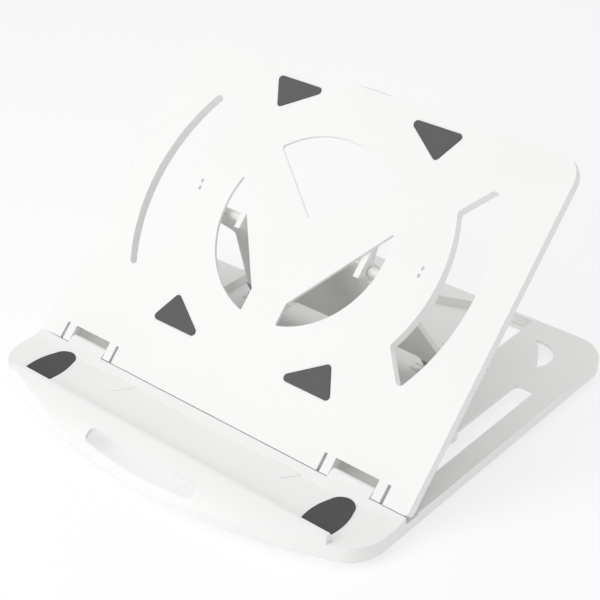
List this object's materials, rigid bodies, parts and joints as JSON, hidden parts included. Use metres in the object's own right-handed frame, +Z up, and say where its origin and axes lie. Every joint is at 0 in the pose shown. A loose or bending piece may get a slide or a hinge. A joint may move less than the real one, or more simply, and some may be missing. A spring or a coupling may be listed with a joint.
{
  "type": "laptop stand",
  "caption": "Folding laptop stand: a slotted base with a front channel and carrying handle, a tilting tray with cut-outs and rubber pads, and a fold-down support leg.",
  "frame": {"origin": "on the table, under the middle of the base's length and width", "axes": "+X to the user's right along the tray's hinge, +Y to the back, +Z up"},
  "size_m": [0.3, 0.293, 0.1746],
  "materials": {
    "white_plastic": "satin moulded",
    "pad_rubber": "matt dark grey",
    "lip_pad_rubber": "matt dark grey",
    "grip_rubber": "matt light grey",
    "foot_rubber": "matt grey",
    "pin_steel": "plain rod"
  },
  "bodies": {
    "base": {"base_shell": "white_plastic", "tray_hinge_pin_right": "pin_steel", "tray_hinge_pin_left": "pin_steel", "lip_pad_right": "lip_pad_rubber", "lip_pad_left": "lip_pad_rubber", "rubber_foot_front_left": "foot_rubber", "rubber_foot_front_right": "foot_rubber", "rubber_foot_middle_left": "foot_rubber", "rubber_foot_middle_right": "foot_rubber", "rubber_foot_rear_left": "foot_rubber", "rubber_foot_rear_right": "foot_rubber"},
    "tray": {"tray_panel": "white_plastic", "leg_hinge_pin_right": "pin_steel", "leg_hinge_pin_left": "pin_steel", "tray_pad_top_right": "pad_rubber", "tray_pad_top_left": "pad_rubber", "tray_pad_bottom_right": "pad_rubber", "tray_pad_bottom_left": "pad_rubber"},
    "leg": {"support_leg": "white_plastic", "leg_grip_right": "grip_rubber", "leg_grip_left": "grip_rubber"}
  },
  "joints": [
    {"name": "tray_tilt", "type": "hinge", "parent": "base", "child": "tray", "pos_m": [0, -0.0739, 0.0159], "axis": [1, 0, 0], "range_deg": [-45, 0]},
    {"name": "leg_fold", "type": "hinge", "parent": "tray", "child": "leg", "pos_m": [0, 0.01378, 0.09368], "axis": [1, 0, 0], "range_deg": [0, 107.1]}
  ],
  "couplings": [
    {"joint": "leg_fold", "follows": "tray_tilt", "ratio": -2.3788}
  ]
}
